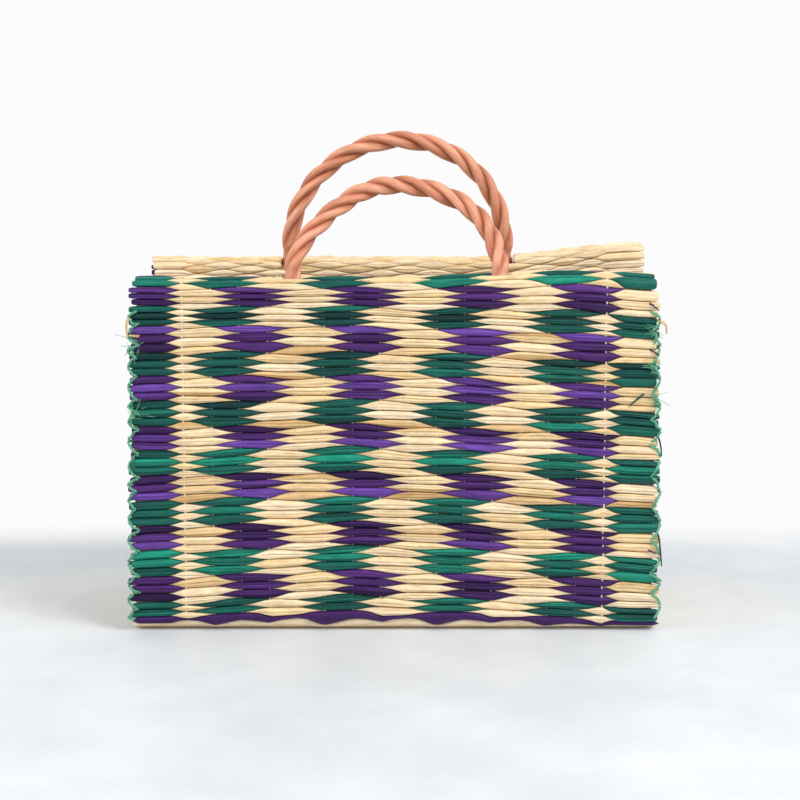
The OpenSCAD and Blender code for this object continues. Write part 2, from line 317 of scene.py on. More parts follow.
def mat_point(x, s, h):
    """A point of the front half of the mat: x along its reeds, s down its outer face, h out of that face.

    s is 0 where the flat wall starts under the rim. Negative s climbs over the rim fold and goes down the
    hem; s past the wall goes round the base fold and along the base to the middle of the bag."""
    x, s, h = np.broadcast_arrays(x, s, h)
    rim = np.clip(-s / RIM_R, 0, np.pi)
    down = np.clip(s, 0, None) + np.clip(-s - RIM_ARC, 0, None)
    y_top = -(HINGE_Y + (RIM_R + h) * np.cos(rim))
    z_top = HINGE_Z + (RIM_R + h) * np.sin(rim) - down
    foot = np.clip((s - WALL_LEN) / FOOT_R, 0, np.pi / 2)
    y_foot = -(FLOOR_Y + (FOOT_R + h) * np.cos(foot)) + np.clip(s - WALL_LEN - FOOT_ARC, 0, None)
    z_foot = FOOT_Z - (FOOT_R + h) * np.sin(foot)
    low = s > WALL_LEN
    return np.stack([x, np.where(low, y_foot, y_top), np.where(low, z_foot, z_top)], -1)


def ramp(low, high, x):
    """0 below low, 1 above high, smooth between."""
    t = np.clip((x - low) / (high - low), 0, 1)
    return t * t * (3 - 2 * t)


def back_lift(x, s):
    """How far the right end of the back rim stands up: most at the reed ends, fading down the wall."""
    return BACK_LIFT * ramp(*BACK_LIFT_X, x) * (1 - ramp(*BACK_LIFT_S, s))


def front_lift(x, s):
    """How far the front rim bulges up right of its middle."""
    along = ramp(*FRONT_LIFT_X, x) * (1 - 0.5 * ramp(*FRONT_LIFT_FALL, x))
    return FRONT_LIFT * along * (1 - ramp(*FRONT_LIFT_S, s))


def wall_face(turn, lift):
    """Surface of a wall: mat_point, with y times turn, raised by lift at its rim."""
    def face(x, s, h):
        point = mat_point(x, s, h) * [1, turn, 1]
        point[..., 2] += lift(*np.broadcast_arrays(x, s))
        return point
    return face


def inside_of(face):
    """The inner surface of a wall, h out of it into the bag."""
    return lambda x, s, h: face(x, s, -SHEET_T - h)


front_face = wall_face(1, front_lift)
back_face = wall_face(-1, back_lift)


def end_face(side, inner):
    """Surface of an end panel: x along its reeds (front to back), s down from its top, h out of that face."""
    def face(x, s, h):
        x, s, h = np.broadcast_arrays(x, s, h)
        across = END_FACE - END_T - h if inner else END_FACE + h
        return np.stack([side * across, x, END_TOP - s], -1)
    return face


# Weaving

class Weave:
    """A stack of picks, each with its colour, slot and ends, and the knots (warps and edges) it goes over."""

    def __init__(self, knots, half_length):
        self.knots = np.asarray(knots, float)
        self.half_length = half_length
        self.picks = []
        self.legs = ()

    def add(self, kind, height, over, bundle=-1):
        """One more pick, below the others. Picks of one bundle are drawn together at the mat's ends."""
        self.picks.append((kind, height, over, bundle))

    def settle(self, top, spread=0.12, end_spread=1.2):
        """Fixes slot edges from the top down, with a little random play in heights, crossings and ends."""
        kind, height, over, bundle = (np.array(column) for column in zip(*self.picks))
        self.kind, self.over = kind, over.astype(float)
        play = height * (1 + spread * rng.uniform(-1, 1, len(height)))
        play *= height.sum() / play.sum()
        self.height = play
        self.edges = top + np.concatenate([[0], np.cumsum(play)])
        self.jitter = CROSS_JITTER * rng.standard_normal((len(play), len(self.knots) - 1))
        self.left = -self.half_length + end_spread * rng.uniform(-1, 1, len(play))
        self.right = self.half_length + end_spread * rng.uniform(-1, 1, len(play))
        self.drift = lambda x, s: np.zeros_like(x + s)
        middle = (self.edges[1:] + self.edges[:-1]) / 2
        self.gather = np.array([middle[bundle == b].mean() if b >= 0 else np.nan for b in bundle])
        return self

    def pinched(self, j, x, s):
        """Place s of pick j, drawn towards the middle of its bundle beyond the outermost warps."""
        middle = self.gather[j] + self.drift(x, self.gather[j])
        pull = PINCH * ramp(*PINCH_X, np.abs(x)) ** 2
        return np.where(np.isnan(middle), s, s + pull * (np.nan_to_num(middle) - s))

    def overness(self, j, x):
        """How far pick j lies over the warps at x: 1 over, 0 under, a ramp halfway between two warps."""
        i = np.clip(np.searchsorted(self.knots, x) - 1, 0, len(self.knots) - 2)
        a, b = self.over[j, i], self.over[j, i + 1]
        u = (x - self.knots[i]) / (self.knots[i + 1] - self.knots[i])
        r = np.clip((u - 0.5 - self.jitter[j, i]) / (2 * CROSS_ZONE) + 0.5, 0, 1)
        return a + (b - a) * (0.88 * r + 0.12 * r * r * (3 - 2 * r))

    def boundary(self, j, x):
        """Edge between picks j - 1 and j at x. A pick that is under leaves its slot to the ones over it:
        half to each neighbour, or all of it to one where the other neighbour is under too."""
        last = len(self.height) - 1
        above, below = np.clip(j - 1, 0, last), np.clip(j, 0, last)
        d = self.overness(above, x) - self.overness(below, x)
        down = self.height[below] * (1 - 0.5 * self.overness(np.clip(j + 1, 0, last), x))
        up = self.height[above] * (1 - 0.5 * self.overness(np.clip(j - 2, 0, last), x))
        s = self.edges[j] + np.where(d > 0, d * down, d * up)
        return self.pressed(x, s + self.drift(x, s))

    def pressed(self, x, s):
        """Place s, pushed forward at the top of the rim to clear the handle's legs."""
        near = np.zeros_like(x)
        for leg in self.legs:
            near = near + (1 - ramp(SLOT_HALF, SLOT_HALF + SLOT_BLEND, np.abs(x - leg)))
        turn = np.degrees(-s / RIM_R)
        beyond = np.radians(np.clip(turn - SLOT_FROM, 0, None)) * RIM_R
        return s + near * beyond * (1 - ramp(SLOT_CUT + 14, SLOT_CUT + 30, turn))

    def floats(self, wanted):
        """Each stretch over the warps of the wanted picks j: j, its ends, and which ends are cut."""
        found = []
        for j in np.flatnonzero(wanted):
            run = None
            for k in range(len(self.knots) + 1):
                is_over = k < len(self.knots) and self.over[j, k] > 0
                if is_over and run is None:
                    run = k
                if not is_over and run is not None:
                    found.append((j, *self.reach(j, run, k - 1)))
                    run = None
        return found

    def reach(self, j, a, b):
        """Left end, right end and whether each is a cut end, of a float over knots a to b."""
        left, right, n = self.left[j], self.right[j], len(self.knots)
        if a > 0:
            step = self.knots[a] - self.knots[a - 1]
            left = self.knots[a - 1] + step * (0.5 + self.jitter[j, a - 1] - CROSS_ZONE)
        if b < n - 1:
            step = self.knots[b + 1] - self.knots[b]
            right = self.knots[b] + step * (0.5 + self.jitter[j, b] + CROSS_ZONE)
        return left, right, a == 0, b == n - 1


# Places across a float of one, two or three reeds, and the grooves between those reeds
ACROSS = np.array([
    [-1, -0.95, -0.81, -0.59, -0.31, 0, 0.31, 0.59, 0.81, 0.95, 1],
    [-1, -0.93, -0.72, -0.40, -0.13, 0, 0.13, 0.40, 0.72, 0.93, 1],
    [-1, -0.86, -0.50, -0.36, -0.22, 0, 0.22, 0.36, 0.50, 0.86, 1],
])
GROOVES = ((), (0.0,), (-0.36, 0.36))


def groove_depth(n):
    """How deep the grooves cut at each place across a float of n + 1 reeds."""
    depth = np.zeros(ACROSS.shape[1])
    for place in GROOVES[n]:
        depth = depth + np.exp(-((ACROSS[n] - place) / GROOVE_WIDTH) ** 2)
    return depth


GROOVE = np.array([groove_depth(n) for n in range(3)])
FINE = np.arange(ACROSS.shape[1])
COARSE = np.array([0, 2, 3, 5, 7, 8, 10])


def float_surface(weave, floats, face, rings, places, tone_of):
    """Points, faces, tones and grain of reed floats.

    Along t from end to end, a float fills the room between its two weave boundaries. Across it, a from -1 to
    1, it is a flat dome cut by the grooves between its reeds; its crest rises with the overness and dips
    under the neighbouring picks at the tips. Under the base the crests are pressed flat. A last point under
    the middle closes each ring."""
    count = len(floats)
    j, left, right = (np.array([f[i] for f in floats])[:, None] for i in range(3))
    cut = np.array([f[3:5] for f in floats], float)
    u = np.linspace(0, 1, rings)[None]
    t = TIP_IN + TIP_TO_TIP * (RING_EVEN * u + RING_EASE * (0.5 - 0.5 * np.cos(np.pi * u)))
    x = left + (right - left) * t
    up = weave.pinched(j, x, weave.boundary(j, x))
    low = weave.pinched(j, x, weave.boundary(j + 1, x))
    over = weave.overness(j, x)
    closing = np.sqrt(np.clip((x - left) / TIP_ROUND, 0, 1) * np.clip((right - x) / TIP_ROUND, 0, 1))
    mid = (up + low) / 2
    half = np.maximum(low - up, 0.05) / 2 * SLOT_FILL * closing
    rise = FLOAT_RISE * (1 + RISE_PLAY * rng.standard_normal((count, 1)))
    bulge = 1 - CREST_BULGE + CREST_BULGE * np.sin(np.pi * t)
    cut_here = np.where(t < 0.5, cut[:, :1], cut[:, 1:])
    lift = np.maximum(over ** 0.55, cut_here * CUT_LIFT) * bulge * (0.55 + 0.45 * closing)
    crest = FLOAT_DIP + (rise - FLOAT_DIP) * lift
    n = rng.choice(3, count, p=REED_SHARES)
    many = n[:, None] > 0
    shift = rng.uniform(-GROOVE_SHIFT, GROOVE_SHIFT, (count, 1)) * many
    across, groove = ACROSS[n][:, places], GROOVE[n][:, places]
    a = across + shift * (1 - across ** 2)
    depth = rng.uniform(*GROOVE_CUT, (count, 1))
    dome = (1 - np.abs(across) ** DOME_FLAT * 0.999) ** DOME_ROUND * (1 - depth * groove)
    dome = dome * (1 + LEAN_PLAY * rng.standard_normal((count, 1)) * across)
    s = mid[..., None] + half[..., None] * a[:, None]
    h = FLOAT_EDGE + (crest - FLOAT_EDGE)[..., None] * dome[:, None]
    standing = ramp(WALL_LEN, WALL_LEN + 0.8 * FOOT_ARC, s)
    h = np.minimum(h, 2 * FLOAT_RISE - (2 * FLOAT_RISE - PLAIN_RISE + 0.1) * standing)
    s = np.concatenate([s, mid[..., None]], -1)
    h = np.concatenate([h, np.full((count, rings, 1), FLOAT_UNDER)], -1)
    sides = s.shape[2]
    along = np.repeat(x[..., None], sides, 2)
    pole_x = np.concatenate([left, right], 1)
    pole_h = (crest[:, [0, -1]] + FLOAT_EDGE) * 0.5
    points = closed_tubes(face(along, s, h), face(pole_x, mid[:, [0, -1]], pole_h))
    base = tone_of[j[:, 0]][:, None]
    reed = np.where(a < shift, -1, 1) * many * REED_TONE * rng.standard_normal((count, 1))
    # Painted shade: the tone drops along the grooves between the reeds
    tone = base + TONE_PLAY * rng.standard_normal((count, 1)) + reed - GROOVE_PAINTED_SHADE * groove
    tone = np.concatenate([np.clip(tone, 0, 1), base], 1)
    tone = np.concatenate([np.tile(tone, rings), base, base], 1).ravel()
    seed = rng.uniform(0, 90, (count, 1, 1))
    width = np.concatenate([a, np.zeros((count, 1))], 1)[:, None] * half[..., None]
    grain = np.stack([along, width + seed, np.broadcast_to(seed, width.shape)], -1)
    pole_seed = np.repeat(seed[:, 0], 2, 1)
    grain = closed_tubes(grain, np.stack([pole_x, pole_seed, pole_seed], -1))
    return points, tube_faces(count, rings, sides), tone, grain


def wall_surface(weave, floats, face, rings):
    """float_surface, with more rings in the rows that run from end to end."""
    short = [f for f in floats if f[2] - f[1] < LONG_FLOAT]
    whole = [f for f in floats if f[2] - f[1] >= LONG_FLOAT]
    parts = [float_surface(weave, group, face, count, FINE, weave.tones)
             for group, count in ((short, rings), (whole, LONG_RINGS)) if group]
    points, faces = joined([part[:2] for part in parts])
    tone, grain = (np.concatenate([part[i] for part in parts]) for i in (2, 3))
    return points, faces, tone, grain


def knots_of(count, pitch, edge):
    """Places of the warps, with one more knot at either edge."""
    warps = (np.arange(count) - (count - 1) / 2) * pitch
    return np.concatenate([[warps[0] - edge], warps, [warps[-1] + edge]])


KNOT = np.arange(-1, WARPS + 1)
GREEN_OVER = np.isin(KNOT % 4, (1, 2)) | (KNOT < 0) | (KNOT >= WARPS)
PURPLE_OVER = np.isin(KNOT % 4, (2, 3))


def plain_over(j):
    """Over every other warp, turn about from pick to pick."""
    return (KNOT + j) % 2 == 0


def wall_drift(x, s):
    """Rows sag towards both ends, most to the right and lower down to the left, and wander a little."""
    right = np.clip((x - SAG_TOP) / SAG_RIGHT_SPAN, 0, None)
    left = np.clip((SAG_TOP - x) / SAG_LEFT_SPAN, 0, None)
    sag = SAG_RIGHT * right ** 1.2 + SAG_LEFT * np.clip(s / WALL_LEN, 0, 1) * left ** 1.3
    wander = 0.35 * np.sin(x / 21 + s / 13) + 0.25 * np.sin(x / 9.5 - s / 7 + 1.3)
    late = ramp(60, 120, x)
    window = ramp(-12, 14, s) * (1 - ramp(WALL_LEN - 10 + 10 * late, WALL_LEN + FOOT_ARC + 6 * late, s))
    return (sag + wander) * window


def row_tones(weave):
    """A tone for each pick: most reeds are of a middle tone, some took the dye brighter or darker."""
    pick = rng.choice(len(DYE_TONES), len(weave.kind), p=DYE_SHARES)
    dyed = np.array(DYE_TONES)[pick]
    middle, spread = NATURAL_TONE
    plain = np.clip(middle + spread * rng.standard_normal(len(weave.kind)), 0.1, 1)
    return np.where(weave.kind == NATURAL, plain, dyed)


def wall_weave(rim_green, rim_purple, hem_extra):
    """The mat from the hem's edge to the middle of the base: plain, rim rows, check, foot rows, plain."""
    weave = Weave(knots_of(WARPS, WARP_PITCH, EDGE_PITCH), HALF_W)
    check_top = CHECK_TOP - rim_green - rim_purple
    hem_slots = int(round((check_top - HEM_END) / (ROW / 2)))
    for j in range(hem_slots):
        weave.add(NATURAL, (check_top - HEM_END) / hem_slots, plain_over(j))
    blocks = [(PURPLE, 1, rim_purple)] if rim_purple else []
    blocks += [(GREEN, 2, rim_green)]
    blocks += [((PURPLE, GREEN)[i % 2], 3, height) for i, height in enumerate(BLOCK_H)]
    blocks += [(GREEN, 2, FOOT_GREEN)]
    for bundle, (kind, rows, height) in enumerate(blocks):
        over = PURPLE_OVER if kind == PURPLE else GREEN_OVER
        for _ in range(rows):
            weave.add(kind, height / rows / 2, over, bundle)
            weave.add(NATURAL, height / rows / 2, ~over, bundle)
    foot_over = np.where(GREEN_OVER, 1, 0.45)
    foot_over[0] = 0.5
    weave.add(PURPLE, FOOT_PURPLE, foot_over)
    weave.add(NATURAL, FOOT_NATURAL, np.where(plain_over(0), 1, FOOT_DIP))
    rest = BASE_MID - CHECK_TOP - sum(BLOCK_H) - FOOT_GREEN - FOOT_PURPLE - FOOT_NATURAL
    base_slots = int(round(rest / (ROW / 2)))
    for j in range(base_slots):
        over = plain_over(j) if j > 1 else np.where(plain_over(0), 1, FOOT_DIP)
        weave.add(NATURAL, rest / base_slots, over)
    weave.settle(HEM_END)
    centre = (weave.edges[1:] + weave.edges[:-1]) / 2
    longer = END_EXTRA * ramp(-14, 6, centre) + END_FLARE * ramp(0, WALL_LEN, centre)
    weave.left -= longer
    weave.right += longer + hem_extra * (1 - ramp(-14, 10, centre))
    weave.centre = centre
    weave.on_wall = (centre > check_top) & (centre < WALL_LEN + FOOT_ARC)
    weave.drift = wall_drift
    weave.tones = row_tones(weave)
    weave.tones[(weave.kind == GREEN) & (centre < CHECK_TOP)] = RIM_GREEN_TONE
    return weave


# Materials

class Nodes:
    """The nodes of a material or world, with short ways to add and join them."""

    def __init__(self, owner):
        owner.use_nodes = True
        self.owner = owner
        self.nodes = owner.node_tree.nodes
        self.links = owner.node_tree.links

    def feed(self, node, inputs):
        """Sets a node's inputs to values or joins them to sockets."""
        for name, value in inputs.items():
            if isinstance(value, bpy.types.NodeSocket):
                self.links.new(value, node.inputs[name])
            else:
                node.inputs[name].default_value = value

    def add(self, kind, inputs, **settings):
        """A new node with its settings and inputs."""
        node = self.nodes.new(f"ShaderNode{kind}")
        for name, value in settings.items():
            setattr(node, name, value)
        self.feed(node, inputs)
        return node

    def attribute(self, name, output):
        """A value that the mesh carries at its points."""
        return self.add("Attribute", {}, attribute_name=name).outputs[output]

    def place(self):
        """The place on the object, in metres."""
        return self.add("TexCoord", {}).outputs["Object"]

    def ramp(self, value, *stops):
        """The colour at a value, from stops of place and colour."""
        node = self.add("ValToRGB", {"Fac": value})
        while len(node.color_ramp.elements) < len(stops):
            node.color_ramp.elements.new(0.5)
        for element, (place, colour) in zip(node.color_ramp.elements, stops):
            element.position = place
            element.color = (*colour, 1)
        return node.outputs["Color"]

    def mix(self, kind, share, a, b):
        """A mix of two colours."""
        return self.add("Mix", {0: share, 6: a, 7: b}, data_type="RGBA", blend_type=kind).outputs[2]

    def maths(self, operation, a, b):
        """Two values brought together."""
        return self.add("Math", {0: a, 1: b}, operation=operation).outputs[0]

    def noise(self, vector, stretch, detail=3.0):
        """Noise on coordinates that are first multiplied by the three factors of stretch."""
        scaled = self.add("VectorMath", {0: vector, 1: stretch}, operation="MULTIPLY").outputs[0]
        settings = {"Vector": scaled, "Scale": 1.0, "Detail": detail, "Roughness": 0.6}
        return self.add("TexNoise", settings).outputs["Fac"]

    def skin(self, colour, roughness, specular, **relief):
        """Colour, gloss and fine relief of the surface."""
        skin = {"Base Color": colour, "Roughness": roughness, "Specular IOR Level": specular}
        if relief:
            skin["Normal"] = self.add("Bump", relief).outputs["Normal"]
        self.feed(self.nodes["Principled BSDF"], skin)
        return self.owner

    def sight(self):
        """1 for rays from the camera and for mirrored or refracted ones, 0 for the rays that carry light."""
        ray = self.add("LightPath", {}).outputs
        mirrored = self.maths("MAXIMUM", ray["Is Camera Ray"], ray["Is Glossy Ray"])
        return self.maths("MAXIMUM", mirrored, ray["Is Transmission Ray"])

    def show(self, output, share, first, second):
        """Puts a mix of two shaders on the output node's surface."""
        mix = self.add("MixShader", {0: share, 1: first.outputs[0], 2: second.outputs[0]})
        self.feed(self.nodes[output], {"Surface": mix.outputs[0]})


def new_material(name):
    """The nodes of a new material."""
    return Nodes(bpy.data.materials.new(name))


def reed_material(name, dark, mid, bright, streak, fleck, roughness):
    """Dyed or bare reed: tone per reed, fine lines along it, slow blotches and a few darker flecks."""
    shader = new_material(name)
    tone = shader.ramp(shader.attribute("tone", "Fac"), (0.0, dark), (0.5, mid), (1.0, bright))
    grain = shader.attribute("grain", "Vector")
    lines = shader.noise(grain, (0.06, 3.6, 1.0))
    blotch = shader.noise(grain, (0.10, 0.5, 1.0), detail=2.0)
    specks = shader.noise(grain, (0.35, 1.6, 1.0), detail=1.0)
    line_shade = shader.ramp(lines, (0.30, (streak,) * 3), (0.66, (1.9 - streak,) * 3))
    blotch_shade = shader.ramp(blotch, (0.32, (0.80,) * 3), (0.68, (1.10,) * 3))
    speck_mask = shader.ramp(specks, (0.70, (0, 0, 0)), (0.78, (1, 1, 1)))
    colour = shader.mix("MULTIPLY", 1.0, tone, line_shade)
    colour = shader.mix("MULTIPLY", 1.0, colour, blotch_shade)
    colour = shader.mix("MIX", speck_mask, colour, (*fleck, 1))
    return shader.skin(colour, roughness, 0.2, Height=lines, Strength=0.5, Distance=0.0003)


def willow_material():
    """Boiled and peeled willow: salmon brown, with streaks along the rod, blotches and a satin skin."""
    shader = new_material("willow")
    tone = shader.ramp(shader.attribute("tone", "Fac"), (0.0, (0.36, 0.100, 0.044)),
                       (0.5, (0.60, 0.215, 0.115)), (1.0, (0.86, 0.42, 0.27)))
    grain = shader.attribute("grain", "Vector")
    lines = shader.noise(grain, (0.045, 1.7, 1.0), detail=4.0)
    blotch = shader.noise(grain, (0.09, 0.25, 1.0), detail=2.0)
    line_shade = shader.ramp(lines, (0.28, (0.74, 0.70, 0.66)), (0.66, (1.10, 1.10, 1.08)))
    blotch_shade = shader.ramp(blotch, (0.3, (0.82, 0.80, 0.78)), (0.7, (1.10, 1.12, 1.14)))
    colour = shader.mix("MULTIPLY", 1.0, tone, line_shade)
    colour = shader.mix("MULTIPLY", 1.0, colour, blotch_shade)
    return shader.skin(colour, 0.48, 0.4, Height=lines, Strength=0.4, Distance=0.0004)


def string_material(name, dark, bright):
    """Soft twisted string: slanting plies across its run and a dull fibre skin."""
    shader = new_material(name)
    fibre = shader.noise(shader.attribute("grain", "Vector"), (1.2, 2.2, 1.0), detail=4.0)
    colour = shader.ramp(fibre, (0.3, dark), (0.7, bright))
    return shader.skin(colour, 0.85, 0.2, Height=fibre, Strength=0.6, Distance=0.0003)


def shaded_core_material():
    """Painted shade: reed seen deep between the floats, coloured a dark brown, much darker than the floats,
    to stand for the shade in the gaps, with lines along the reeds.
    """
    shader = new_material("painted_shade_reed")
    lines = shader.noise(shader.place(), (60.0, 900.0, 900.0))
    return shader.skin(shader.ramp(lines, (0.3, (0.20, 0.12, 0.055)), (0.7, (0.42, 0.28, 0.14))), 0.8, 0.5)


REED = {
    NATURAL: reed_material("natural_reed", (0.56, 0.32, 0.12), (0.88, 0.645, 0.345), (0.94, 0.75, 0.51),
                           0.86, (0.50, 0.28, 0.11), 0.55),
    GREEN: reed_material("green_reed", (0.002, 0.030, 0.031), (0.006, 0.098, 0.076), (0.010, 0.26, 0.170),
                         0.55, (0.004, 0.05, 0.04), 0.42),
    PURPLE: reed_material("purple_reed", (0.020, 0.004, 0.048), (0.074, 0.020, 0.145), (0.15, 0.060, 0.35),
                          0.55, (0.03, 0.008, 0.06), 0.42),
}
willow = willow_material()
green_string = string_material("green_string", (0.04, 0.23, 0.125), (0.25, 0.62, 0.40))
warp_thread = string_material("warp_thread", (0.50, 0.46, 0.40), (0.86, 0.83, 0.78))
painted_shade_reed = shaded_core_material()


# Walls, hems and base

INSIDE_TOP = 8.0
INSIDE_SHORT = 4.0


def beside_legs(legs, reach):
    """The stretches, up to reach on either side of the middle, that the slots for the legs leave."""
    stops = [-reach, *(leg + half for leg in legs for half in (-SLOT_HALF, SLOT_HALF)), reach]
    return list(zip(stops[::2], stops[1::2]))


def leg_slot(weave, floats):
    """Cuts floats that lie in the path of the handle's legs, so that they end on either side of a leg."""
    kept = []
    for j, left, right, cut_left, cut_right in floats:
        turn = np.degrees(-weave.centre[j] / RIM_R)
        legs = weave.legs if SLOT_CUT < turn < SLOT_TO else ()
        for start, stop in beside_legs(legs, np.inf):
            a, b = max(left, start), min(right, stop)
            if b - a > SHORTEST or (a, b) == (left, right):
                kept.append((j, a, b, cut_left or a > left, cut_right or b < right))
    return kept


def reed_piece(name, surface, colour, replaces=()):
    """A piece of reeds of one colour, from its points, faces, tones and grain."""
    points, faces, tone, grain = surface
    new_piece(name, points, faces, REED[colour], f"{colour}_reed", tone=tone, grain=grain, replaces=replaces)


def weave_wall(side, weave, face):
    """The pieces of one wall with its hem and half of the base, outer and inner face."""
    for colour in COLOURS:
        floats = leg_slot(weave, weave.floats((weave.kind == colour) & weave.on_wall))
        reed_piece(f"{side}_{colour}_floats", wall_surface(weave, floats, face, WALL_RINGS), colour,
                   (f"{side}_{colour}_reeds",))
    plain = leg_slot(weave, weave.floats(~weave.on_wall))
    reed_piece(f"{side}_plain_floats", wall_surface(weave, plain, face, PLAIN_RINGS), NATURAL)
    reverse = copy.copy(weave)
    reverse.over = 1 - np.round(weave.over)
    reverse.left, reverse.right = weave.left + INSIDE_SHORT, weave.right - INSIDE_SHORT
    reverse.legs = ()
    for colour in COLOURS:
        floats = reverse.floats((weave.kind == colour) & (weave.centre > INSIDE_TOP))
        surface = float_surface(reverse, floats, inside_of(face), INSIDE_RINGS, COARSE, weave.tones)
        reed_piece(f"{side}_{colour}_inside", surface, colour)


def sheet_bar(face, x0, x1, s0, s1, steps):
    """A closed stretch of the sheet's core.

    Its outline runs along the outer line from s0 to s1 and back along the inner one, from x0 to x1."""
    s = np.linspace(s0, s1, steps)
    line = np.concatenate([s, s[::-1]])
    h = np.concatenate([np.full(steps, -CORE_INSET), np.full(steps, CORE_INSET - SHEET_T)])
    xs = np.linspace(x0, x1, max(2, int(abs(x1 - x0) / 20)))
    points = face(xs[:, None], line[None], h[None]).reshape(-1, 3)
    n, m = 2 * steps, len(xs)
    i = np.arange(steps - 1)
    first = np.stack([i + 1, i, n - 1 - i, n - 2 - i], -1)
    last = first[:, ::-1] + (m - 1) * n
    return points, outward(points, np.concatenate([ring_faces(m, n), first, last]))


def mat_core():
    """The sheet between the outer and inner floats, open at the rim where the handles' legs pass."""
    reach = HALF_W - 1.5
    wall_reach = HALF_W + 1.6
    wall_top, wall_foot = 14.0, WALL_LEN + 2.0
    slot_low, slot_high = -np.radians(SLOT_TO) * RIM_R, -np.radians(CORE_SLOT_FROM) * RIM_R
    bars = ((reach, slot_high, wall_top, 14), (wall_reach, wall_top, wall_foot, 24),
            (reach, wall_foot, BASE_MID, 30), (reach, HEM_END, slot_low, 8))
    parts = []
    for weave, face in ((front_weave, front_face), (back_weave, back_face)):
        parts += [sheet_bar(face, -half, half, *bar) for half, *bar in bars]
        parts += [sheet_bar(face, a, b, slot_low, slot_high, 8) for a, b in beside_legs(weave.legs, reach)]
    # The core's dark colour is painted shade for the gaps between the floats
    new_piece("mat_core", *joined(parts), painted_shade_reed, "natural_reed", replaces=("reed_mat",))


front_weave = wall_weave(RIM_GREEN, RIM_PURPLE, 0)
back_weave = wall_weave(BACK_RIM_GREEN, 0, BACK_HEM_EXTRA)
for side, weave, face in (("front", front_weave, front_face), ("back", back_weave, back_face)):
    reach, shift = HANDLE_LEGS[side]
    weave.legs = (shift - reach, shift + reach)
    weave_wall(side, weave, face)
mat_core()


# End panels

def end_weave():
    """A plain mat of natural reeds from the panel's top down to the base."""
    half = WALL_IN / END_WARPS
    weave = Weave(knots_of(END_WARPS, 2 * half, half), WALL_IN - END_CLEAR)
    rows = int(round((END_TOP - BASE_TOP) / (ROW / 2)))
    knot = np.arange(END_WARPS + 2)
    for j in range(rows):
        weave.add(NATURAL, (END_TOP - BASE_TOP) / rows, (knot + j) % 2 == 0)
    weave.settle(0, end_spread=0.25)
    corner = FOOT_R - SHEET_T
    up = END_TOP - BASE_TOP - (weave.edges[1:] + weave.edges[:-1]) / 2
    rounding = corner - np.sqrt(np.clip(corner ** 2 - np.clip(corner - up, 0, corner) ** 2, 0, None))
    weave.left += rounding
    weave.right -= rounding
    return weave


def end_core(side):
    """The sheet of an end panel: a flat block with its bottom corners cut back for the base fold."""
    corner = FOOT_R - SHEET_T
    y, foot = WALL_IN - END_CORE_CLEAR, BASE_TOP + END_CLEAR
    cut = corner * 0.35
    outline = np.array([[-y, END_TOP], [-y, BASE_TOP + corner], [-y + cut, BASE_TOP + cut],
                        [-y + corner, foot], [0, foot]])
    outline = np.concatenate([outline, (outline * [-1, 1])[-2::-1]])
    n = len(outline)
    layers = (END_FACE - CORE_INSET, END_FACE - END_T + CORE_INSET)
    points = np.concatenate([np.column_stack([np.full(n, side * x), outline]) for x in layers])
    k = np.arange(n // 2)
    cap = np.stack([k, k + 1, n - 2 - k, n - 1 - k], -1)
    return points, np.concatenate([ring_faces(2, n), cap[:, ::-1], cap + n])


for side, name in ((-1, "left"), (1, "right")):
    panel = end_weave()
    panel_tones = row_tones(panel)
    whole = panel.floats(panel.kind == NATURAL)
    surface = float_surface(panel, whole, end_face(side, False), END_RINGS, COARSE, panel_tones)
    reed_piece(f"{name}_end_floats", surface, NATURAL, (f"{name}_end_panel",))
    surface = float_surface(panel, whole, end_face(side, True), END_INSIDE_RINGS, COARSE, panel_tones)
    reed_piece(f"{name}_end_inside", surface, NATURAL)
    # The end core's dark colour is painted shade for the gaps between the floats
    new_piece(f"{name}_end_core", *end_core(side), painted_shade_reed, "natural_reed")


# Strings

def swept(path, radius, sides=8):
    """Closed tubes along paths (tube, ring, 3), of radius (tube, ring): circles square to the path."""
    tangent = unit(np.gradient(path, axis=1))
    helper = np.where(np.abs(tangent[..., :1]) < 0.8, [1.0, 0, 0], [0, 1.0, 0.2])
    side = unit(np.cross(tangent, helper))
    up = np.cross(tangent, side)
    angle = np.linspace(0, 2 * np.pi, sides, endpoint=False)
    radius = np.broadcast_to(radius, path.shape[:2])[..., None, None]
    ring = radius * (np.cos(angle)[:, None] * side[:, :, None] + np.sin(angle)[:, None] * up[:, :, None])
    points = path[:, :, None] + ring
    poles = np.stack([path[:, 0] - tangent[:, 0] * radius[:, 0, 0] * 0.6,
                      path[:, -1] + tangent[:, -1] * radius[:, -1, 0] * 0.6], 1)
    length = np.cumsum(np.linalg.norm(np.diff(path, axis=1, prepend=path[:, :1]), axis=-1), 1)
    around = np.linspace(0, 1, sides, endpoint=False)
    grain = np.stack(np.broadcast_arrays(length[..., None], around * 4 + length[..., None] * 0.5,
                                         np.arange(len(path))[:, None, None] * 7.0), -1)
    grain = closed_tubes(grain, grain[:, [0, -1], 0])
    return closed_tubes(points, poles), tube_faces(len(path), path.shape[1], sides), grain


def smooth_path(knots, per_step):
    """A curve through the knots: between two of them a cubic that leaves each along its neighbours' line."""
    p = np.concatenate([2 * knots[:1] - knots[1:2], knots, 2 * knots[-1:] - knots[-2:-1]])
    t = np.linspace(0, 1, per_step, endpoint=False)[None, :, None]
    a, b, c, d = p[:-3, None], p[1:-2, None], p[2:-1, None], p[3:, None]
    square, cube = 2 * a - 5 * b + 4 * c - d, 3 * b - a - 3 * c + d
    curve = 0.5 * (2 * b + (c - a) * t + square * t ** 2 + cube * t ** 3)
    return np.concatenate([curve.reshape(-1, 3), knots[-1:]])


